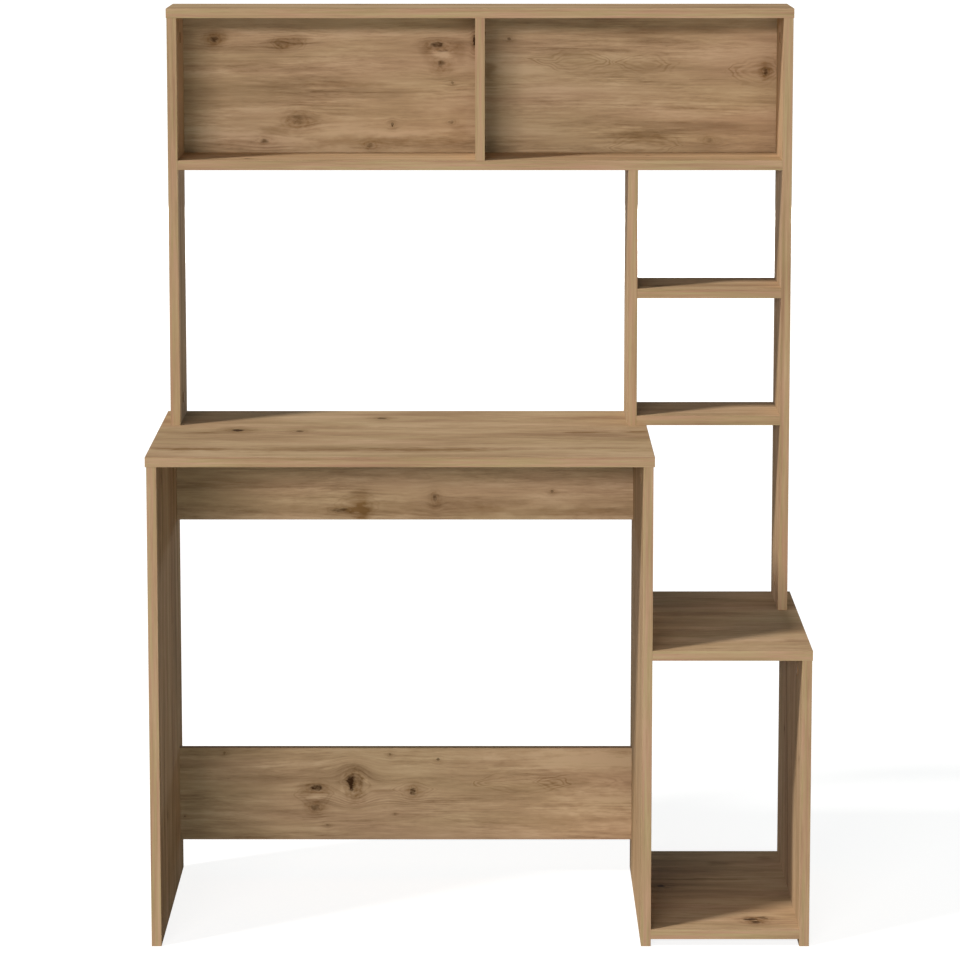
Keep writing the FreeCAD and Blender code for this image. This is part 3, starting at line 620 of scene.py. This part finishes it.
def stray_knots(tree, state, torn, start, allowed):
    """Lays the knots that luck places, where the board allows them, over the marks so far."""
    long, wide = STRAY_PATCH
    shift = add(tree, VECTOR, {0: state["Place"], 1: (1 / long, 1 / wide, 0.0)}, "MULTIPLY")
    seed = add(tree, JOIN, {0: start, 1: start})
    patch = add(tree, VECTOR, {0: shift, 1: seed}, "ADD")
    cell = add(tree, VORONOI, {"Vector": patch, "Scale": 1.0}, voronoi_dimensions="2D").outputs
    luck = add(tree, SPLIT_COLOUR, {0: cell["Color"]}).outputs
    lucky = add(tree, MATH, {0: luck[0], 1: STRAY_LUCK}, "GREATER_THAN")
    there = add(tree, MATH, {0: lucky, 1: allowed}, "MULTIPLY")
    back = add(tree, VECTOR, {0: cell["Position"], 1: seed}, "SUBTRACT")
    centre = add(tree, VECTOR, {0: back, 1: (long, wide, 0.0)}, "MULTIPLY")
    half_long = add(tree, MATH, {0: luck[1], 1: STRAY_GROWTH, 2: STRAY_LEAST}, "MULTIPLY_ADD")
    half_wide = add(tree, MATH, {0: half_long, 1: STRAY_ROUNDNESS}, "MULTIPLY")
    half_size = add(tree, JOIN, {0: half_long, 1: half_wide, 2: 1.0})
    look = {
        name: add(tree, MATH, {0: there, 1: value}, "MULTIPLY")
        for name, value in STRAY_LOOK.items()
    }
    return call(tree, "mark", {
        **state, **look, "Rough": torn, "Centre": centre, "Half size": half_size, "Reach": STRAY_REACH,
    })


def printed_sheet(scene, node, name, raw):
    """A material for one sheet: the print on its faces, and what raw(tree, place) gives elsewhere."""
    shared_groups(scene)
    low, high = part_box(node)
    along, across, through = sheet_axes(node)
    material, tree, shader = new_material(name + "_" + node)
    spot = add(tree, COORDS).outputs["Object"]
    place = add(tree, VECTOR, {0: spot, "Scale": MM_PER_METRE}, "SCALE")
    split = add(tree, SPLIT, {0: place}).outputs
    flat = add(tree, JOIN, {0: split[along], 1: split[across]})
    core = (low + high)[through] / 2 * MM_PER_METRE
    half = (high - low)[through] / 2 * MM_PER_METRE
    depth = add(tree, MATH, {0: split[through], 1: core}, "SUBTRACT")
    high_side = add(tree, MATH, {0: depth, 1: 0.0}, "GREATER_THAN")
    away = add(tree, MATH, {0: depth}, "ABSOLUTE")
    skin = half - scene.desk_core.foil * MM_PER_METRE
    foil = add(tree, MATH, {0: away, 1: skin}, "GREATER_THAN")
    start = add(tree, MATH, {0: high_side, 1: SIDE_STEP, 2: PRINT_START[node]}, "MULTIPLY_ADD")
    ragged, torn, wavy = [outline(tree, flat, *waves) for waves in (RAGGED, TORN, WAVY)]
    state = placed_marks(tree, node, flat, ragged, torn, wavy)
    allowed = 1.0
    if node in MARKED_FACE:
        face = float(MARKED_FACE[node])
        marked = add(tree, MATH, {0: high_side, 1: face}, "COMPARE")
        allowed = add(tree, MATH, {0: 1.0, 1: marked}, "SUBTRACT")
        for part in ("Heart", "Halo", "Figure"):
            state[part] = add(tree, MATH, {0: state[part], 1: marked}, "MULTIPLY")
    state = stray_knots(tree, state, torn, start, allowed)
    fineness = FINENESS.get(node, 1.0)
    oak = call(tree, "oak_print", {**state, "Start": start, "Contrast": 1.0, "Fineness": fineness})
    bare_colour, bare_height, bare_roughness = raw(tree, place)
    if node == BACK_SHEET:
        front = add(tree, MATH, {0: 1.0, 1: high_side}, "SUBTRACT")
        foil = add(tree, MATH, {0: foil, 1: front}, "MULTIPLY")
    faces = {"Factor": foil, COLOUR_A: bare_colour, COLOUR_B: oak["Colour"]}
    colour = add(tree, MIX, faces, data_type="RGBA").outputs[MIXED]
    rough = add(tree, MIX, {"Factor": foil, NUMBER_A: bare_roughness, NUMBER_B: oak["Roughness"]})
    height = add(tree, MIX, {"Factor": foil, NUMBER_A: bare_height, NUMBER_B: oak["Height"]})
    bump = add(tree, BUMP, {"Height": height, "Strength": 0.5, "Distance": EMBOSSING})
    feed(tree, shader.inputs, {
        "Base Color": colour, "Roughness": rough, "Normal": bump, "Specular IOR Level": FACE_SPECULAR,
    })
    return material


def chip_raw(tree, place):
    """Sawn chipboard: colour, height and roughness."""
    chips = call(tree, "pressed_chips", {"Place": place})
    return chips["Colour"], chips["Height"], 0.85


def hardboard_raw(tree, place):
    """Bare hardboard, felted brown fibres pressed against a wire screen: colour, height, roughness."""
    core = bpy.context.scene.desk_core
    # The fibres lie in clumps of about a millimetre, and in clouds 50 mm wide.
    fibre = add(tree, NOISE, {"Vector": place, "Scale": 0.9, "Detail": 4.0, "Roughness": 0.7})
    cloud = add(tree, NOISE, {"Vector": place, "Scale": 1 / 50, "Detail": 2.0})
    both = add(tree, MATH, {0: fibre, 1: cloud}, "ADD")
    level = add(tree, RANGE, {"Value": both, **span(0.7, 1.3)})
    browns = {"Factor": level, COLOUR_A: (*core.hardboard, 1.0), COLOUR_B: (*core.hardboard_pale, 1.0)}
    colour = add(tree, MIX, browns, data_type="RGBA").outputs[MIXED]
    turn = 2 * math.pi / (core.screen_pitch * MM_PER_METRE)
    around = add(tree, VECTOR, {0: place, "Scale": turn}, "SCALE")
    waves = add(tree, VECTOR, {0: around}, "SINE")
    axes = add(tree, SPLIT, {0: waves}).outputs
    screen = add(tree, MATH, {0: axes[X], 1: axes[Z]}, "MULTIPLY")
    height = add(tree, MATH, {0: screen, 1: fibre}, "ADD")
    return colour, height, 0.8


def dress_boards(scene, which):
    """Lays the melamine print on a set of boards."""
    for node in BOARD_GROUPS[which]:
        # Melamine-faced chipboard: pressed paper foil under resin, nearly matt, with a shallow
        # embossed grain that follows the print, and sawn chips wherever no edging covers the core.
        dress(node, printed_sheet(scene, node, "oak_melamine_chipboard", chip_raw))


def edging_material(scene, name, along, across, turns):
    """Melamine edging: the print run along the strip, which may turn to run along Y on side faces."""
    shared_groups(scene)
    oak = scene.desk_oak
    material, tree, shader = new_material(name)
    coords = add(tree, COORDS).outputs
    place = add(tree, VECTOR, {0: coords["Object"], "Scale": MM_PER_METRE}, "SCALE")
    split = add(tree, SPLIT, {0: place}).outputs
    run = split[along]
    if turns:
        normal = add(tree, VECTOR, {0: coords["Normal"]}, "ABSOLUTE")
        facing = add(tree, SPLIT, {0: normal}).outputs
        sideways = add(tree, MATH, {0: facing[X], 1: facing[Y]}, "GREATER_THAN")
        run = add(tree, MIX, {"Factor": sideways, NUMBER_A: split[X], NUMBER_B: split[Y]})
    fine = add(tree, MATH, {0: split[across], 1: EDGING_FINENESS}, "MULTIPLY")
    printed = call(tree, "oak_print", {
        "Place": add(tree, JOIN, {0: run, 1: fine}), "Start": EDGING_START,
        "Contrast": EDGING_CONTRAST, "Fineness": 1.0,
    })
    calmed = {"Factor": EDGING_PLAINNESS, COLOUR_A: printed["Colour"], COLOUR_B: (*oak.edging, 1.0)}
    base = add(tree, MIX, calmed, data_type="RGBA").outputs[MIXED]
    # Streaks of the strip 120 mm long and 4 mm wide lean to rose or to yellow-green.
    lane = add(tree, JOIN, {0: run, 1: split[across]})
    long = add(tree, VECTOR, {0: lane, 1: (1 / 120, 1 / 4, 0.0)}, "MULTIPLY")
    lean = add(tree, NOISE, {"Vector": long, "Scale": 1.0, "Detail": 1.0})
    shown = add(tree, RANGE, {"Value": lean, **span(0.35, 0.65)})
    hues = {"Factor": shown, COLOUR_A: (*oak.strip_rosy, 1.0), COLOUR_B: (*oak.strip_olive, 1.0)}
    hue = add(tree, MIX, hues, data_type="RGBA").outputs[MIXED]
    laid = {"Factor": 1.0, COLOUR_A: base, COLOUR_B: hue}
    colour = add(tree, MIX, laid, data_type="RGBA", blend_type="MULTIPLY").outputs[MIXED]
    bump = add(tree, BUMP, {"Height": printed["Height"], "Strength": 0.4, "Distance": 0.00004})
    feed(tree, shader.inputs, {
        "Base Color": colour, "Roughness": printed["Roughness"], "Normal": bump,
        "Specular IOR Level": FACE_SPECULAR,
    })
    return material


def speckled_material(name, colour, worn, speckles, detail, smoothest, roughest, relief, **fixed):
    """A material of one colour whose speckles, so many to a millimetre, wear, roughen and lift it."""
    material, tree, shader = new_material(name)
    spot = add(tree, COORDS).outputs["Object"]
    noise = add(tree, NOISE, {"Vector": spot, "Scale": speckles * MM_PER_METRE, "Detail": detail})
    rough = add(tree, MATH, {0: noise, 1: roughest - smoothest, 2: smoothest}, "MULTIPLY_ADD")
    dull = [worn * part for part in colour]
    tones = {"Factor": noise, COLOUR_A: (*dull, 1.0), COLOUR_B: (*colour, 1.0)}
    mixed = add(tree, MIX, tones, data_type="RGBA").outputs[MIXED]
    feed(tree, shader.inputs, {"Base Color": mixed, "Roughness": rough, **fixed})
    if relief:
        bump = add(tree, BUMP, {"Height": noise, "Strength": 0.3, "Distance": relief})
        feed(tree, shader.inputs, {"Normal": bump})
    return material


class DeskStep:
    """What every step of the work shares."""

    bl_options = {"REGISTER", "UNDO"}


class DESK_OT_face_desk(DeskStep, bpy.types.Operator):
    """Lay the oak print on the desktop, legs and rails"""

    bl_idname = "desk.face_desk"
    bl_label = "Face the desk boards"

    def execute(self, context):
        dress_boards(context.scene, "desk")
        return {"FINISHED"}


class DESK_OT_face_cabinet(DeskStep, bpy.types.Operator):
    """Lay the oak print on the open cabinet's boards"""

    bl_idname = "desk.face_cabinet"
    bl_label = "Face the cabinet boards"

    def execute(self, context):
        dress_boards(context.scene, "cabinet")
        return {"FINISHED"}


class DESK_OT_face_hutch(DeskStep, bpy.types.Operator):
    """Lay the oak print on the hutch's uprights, shelves and top"""

    bl_idname = "desk.face_hutch"
    bl_label = "Face the hutch boards"

    def execute(self, context):
        dress_boards(context.scene, "hutch")
        return {"FINISHED"}


class DESK_OT_print_back(DeskStep, bpy.types.Operator):
    """Print the front of the hardboard back and leave its rear bare"""

    bl_idname = "desk.print_back"
    bl_label = "Print the back sheet"

    def execute(self, context):
        # Lacquered printed hardboard: the same oak print in front, dark felted fibre behind.
        dress(BACK_SHEET, printed_sheet(context.scene, BACK_SHEET, "printed_hardboard", hardboard_raw))
        return {"FINISHED"}


class DESK_OT_run_edging(DeskStep, bpy.types.Operator):
    """Run the oak edging along every strip"""

    bl_idname = "desk.run_edging"
    bl_label = "Run the edging"

    def execute(self, context):
        # Melamine edging: a thin printed strip, a little plainer than the face. A board's strips lie
        # along its longest way, and those of a level board also turn round its ends.
        kinds = {
            X: edging_material(context.scene, "oak_edging_upright", Z, X, False),
            Y: edging_material(context.scene, "oak_edging_rail", X, Y, False),
            Z: edging_material(context.scene, "oak_edging_level", X, Z, True),
        }
        for board in sum(BOARD_GROUPS.values(), ()):
            dress(board + "_edging", kinds[sheet_axes(board)[2]])
        return {"FINISHED"}


class DESK_OT_finish_cams(DeskStep, bpy.types.Operator):
    """Give the cam housings their cast zinc"""

    bl_idname = "desk.finish_cams"
    bl_label = "Finish the cams"

    def execute(self, context):
        # Zinc die casting, tumbled: grey metal with a soft, slightly mottled sheen.
        zinc = context.scene.desk_fittings.zinc
        dress("cam_housings", speckled_material(
            "tumbled_zinc_casting", zinc, worn=0.82, speckles=0.9, detail=3.0, smoothest=0.28,
            roughest=0.58, relief=0.00005, Metallic=1.0,
        ))
        return {"FINISHED"}


class DESK_OT_finish_steel(DeskStep, bpy.types.Operator):
    """Give the cam bolts and the panel nails their plated steel"""

    bl_idname = "desk.finish_steel"
    bl_label = "Finish the bolts and nails"

    def execute(self, context):
        # Zinc-plated steel: brighter than the casting, with faint cloudy patches in the plating.
        steel = context.scene.desk_fittings.steel
        plated = speckled_material(
            "zinc_plated_steel", steel, worn=0.85, speckles=0.4, detail=2.0, smoothest=0.18,
            roughest=0.43, relief=0.0, Metallic=1.0,
        )
        for node in ("cam_bolts", "panel_nails"):
            dress(node, plated)
        return {"FINISHED"}


class DESK_OT_finish_dowels(DeskStep, bpy.types.Operator):
    """Give the dowels their beech"""

    bl_idname = "desk.finish_dowels"
    bl_label = "Finish the dowels"

    def execute(self, context):
        # Turned beech: pale, even wood with short darker flecks, unfinished and dry.
        material, tree, shader = new_material("turned_beech")
        fittings = context.scene.desk_fittings
        flecks_per_mm = (0.25, 1.6, 1.1)
        spot = add(tree, COORDS).outputs["Object"]
        place = add(tree, VECTOR, {0: spot, "Scale": MM_PER_METRE}, "SCALE")
        long = add(tree, VECTOR, {0: place, 1: flecks_per_mm}, "MULTIPLY")
        fleck = add(tree, NOISE, {"Vector": long, "Scale": 1.0, "Detail": 2.0})
        level = add(tree, RANGE, {"Value": fleck, **span(0.5, 0.72)})
        tones = {
            "Factor": level, COLOUR_A: (*fittings.beech, 1.0), COLOUR_B: (*fittings.beech_dark, 1.0),
        }
        colour = add(tree, MIX, tones, data_type="RGBA").outputs[MIXED]
        bump = add(tree, BUMP, {"Height": fleck, "Strength": 0.3, "Distance": 0.00005})
        feed(tree, shader.inputs, {"Base Color": colour, "Roughness": 0.7, "Normal": bump})
        dress("wooden_dowels", material)
        return {"FINISHED"}


class DESK_OT_finish_caps(DeskStep, bpy.types.Operator):
    """Give the cover caps their moulded plastic"""

    bl_idname = "desk.finish_caps"
    bl_label = "Finish the cover caps"

    def execute(self, context):
        # Moulded polyethylene: one tan colour with a fine spark-eroded texture and a soft shine.
        tan = context.scene.desk_fittings.cap
        dress("cam_caps", speckled_material(
            "moulded_polyethylene", tan, worn=0.93, speckles=2.5, detail=2.0, smoothest=0.6,
            roughest=0.8, relief=0.00003, **{"Specular IOR Level": 0.1},
        ))
        return {"FINISHED"}


def place_lamp(name, data, location, direction):
    """Puts a lamp in the scene, shining in a direction."""
    lamp = bpy.data.objects.new(name, data)
    lamp.location = location
    lamp.rotation_mode = "QUATERNION"
    lamp.rotation_quaternion = direction.to_track_quat("-Z", "Y")
    bpy.context.scene.collection.objects.link(lamp)


def soft_lamp(name, target, azimuth, elevation, distance, size, share, colour):
    """A rectangular lamp that gives its share of full light to a surface that faces it."""
    a, e = math.radians(azimuth), math.radians(elevation)
    away = Vector((math.sin(a) * math.cos(e), -math.cos(a) * math.cos(e), math.sin(e)))
    data = bpy.data.lights.new(name, "AREA")
    data.shape = "RECTANGLE"
    data.size, data.size_y = size
    data.color = colour
    data.energy = share * (math.pi * distance) ** 2
    place_lamp(name, data, target + away * distance, -away)


def seen_directly(tree):
    """One where the camera looks, straight or in a reflection or through glass, and zero for light."""
    path = add(tree, "ShaderNodeLightPath").outputs
    either = add(tree, MATH, {0: path["Is Camera Ray"], 1: path["Is Glossy Ray"]}, "MAXIMUM")
    return add(tree, MATH, {0: either, 1: path["Is Transmission Ray"]}, "MAXIMUM")


def make_floor(studio):
    """A pale floor that looks white and keeps a faint shadow of the desk."""
    mesh = bpy.data.meshes.new("floor")
    work = bmesh.new()
    bmesh.ops.create_grid(work, x_segments=2, y_segments=2, size=FLOOR_REACH)
    # The floor lies a hair under the feet, so the two faces don't flicker.
    bmesh.ops.translate(work, verts=work.verts, vec=(0.0, 0.0, CAD_BOX[0][Z] - FLOOR_GAP))
    work.to_mesh(mesh)
    work.free()
    floor = bpy.data.objects.new("floor", mesh)
    bpy.context.scene.collection.objects.link(floor)
    material, tree, shader = new_material("matt_studio_floor")
    matt = {"Base Color": (*studio.floor, 1.0), "Roughness": 0.9, "Specular IOR Level": 0.0}
    feed(tree, shader.inputs, matt)
    glow = add(tree, "ShaderNodeEmission", {"Color": WHITE})
    strength = add(tree, MATH, {0: seen_directly(tree), 1: studio.glow}, "MULTIPLY")
    feed(tree, glow.inputs, {"Strength": strength})
    both = add(tree, "ShaderNodeAddShader", {0: shader, 1: glow})
    feed(tree, tree.nodes["Material Output"].inputs, {"Surface": both})
    mesh.materials.append(material)


def make_world(studio):
    """An even, low light from all round that looks white behind the desk."""
    world = bpy.data.worlds.new("studio")
    bpy.context.scene.world = world
    world.use_nodes = True
    tree = world.node_tree
    looked = seen_directly(tree)
    lit = {"Factor": looked, COLOUR_A: (*studio.air, 1.0), COLOUR_B: WHITE}
    colour = add(tree, MIX, lit, data_type="RGBA").outputs[MIXED]
    strength = add(tree, MIX, {"Factor": looked, NUMBER_A: studio.sky, NUMBER_B: 1.0})
    feed(tree, tree.nodes["Background"].inputs, {"Color": colour, "Strength": strength})


class DESK_OT_set_studio(DeskStep, bpy.types.Operator):
    """Set the floor, the lamps and the camera"""

    bl_idname = "desk.set_studio"
    bl_label = "Set the studio"

    def execute(self, context):
        scene = context.scene
        studio = scene.desk_studio
        make_floor(studio)
        make_world(studio)
        sun = bpy.data.lights.new("key_sun", "SUN")
        sun.energy = studio.key
        sun.color = studio.warm
        sun.angle = math.radians(KEY_SPREAD)
        place_lamp("key_sun", sun, (0.0, 0.0, 0.0), KEY_TRAVEL)
        centre = (CAD_BOX[0] + CAD_BOX[1]) / 2
        for name, (*shape, tint) in SOFTBOXES.items():
            soft_lamp(name + "_softbox", centre, *shape, getattr(studio, name), getattr(studio, tint))
        lens = bpy.data.cameras.new("camera")
        lens.lens = studio.lens
        lens.sensor_width = SENSOR_WIDTH
        lens.clip_start, lens.clip_end = NEAREST, FARTHEST
        camera = bpy.data.objects.new("camera", lens)
        camera.location = CAMERA_PLACE
        camera.rotation_euler = (math.radians(90.0) - CAMERA_TILT, 0.0, 0.0)
        scene.collection.objects.link(camera)
        scene.camera = camera
        scene.view_settings.view_transform = "Standard"
        return {"FINISHED"}


STEPS = (
    DESK_OT_face_desk, DESK_OT_face_cabinet, DESK_OT_face_hutch, DESK_OT_print_back,
    DESK_OT_run_edging, DESK_OT_finish_cams, DESK_OT_finish_steel, DESK_OT_finish_dowels,
    DESK_OT_finish_caps, DESK_OT_set_studio,
)
SETTINGS = {
    "desk_oak": DeskOakSettings, "desk_core": DeskCoreSettings,
    "desk_fittings": DeskFittingSettings, "desk_studio": DeskStudioSettings,
}


class VIEW3D_PT_desk(bpy.types.Panel):
    """Lists the steps in the order they are done"""

    bl_label = "Student desk"
    bl_idname = "VIEW3D_PT_desk"
    bl_space_type = "VIEW_3D"
    bl_region_type = "UI"
    bl_category = "Desk"

    def draw(self, context):
        column = self.layout.column()
        for step in STEPS:
            column.operator(step.bl_idname)
        for name, kind in SETTINGS.items():
            box = self.layout.box()
            box.label(text=kind.__doc__)
            for field in kind.__annotations__:
                box.prop(getattr(context.scene, name), field)


def register():
    """Registers the settings, the steps and the panel."""
    for kind in (*SETTINGS.values(), *STEPS, VIEW3D_PT_desk):
        bpy.utils.register_class(kind)
    for name, kind in SETTINGS.items():
        setattr(bpy.types.Scene, name, PointerProperty(type=kind))


def unregister():
    """Takes away what register adds."""
    for name in SETTINGS:
        delattr(bpy.types.Scene, name)
    for kind in (VIEW3D_PT_desk, *reversed(STEPS), *reversed(SETTINGS.values())):
        bpy.utils.unregister_class(kind)


def main():
    """Registers the add-on and does every step."""
    register()
    for step in STEPS:
        area, name = step.bl_idname.split(".")
        getattr(getattr(bpy.ops, area), name)()


if __name__ == "__main__":
    main()
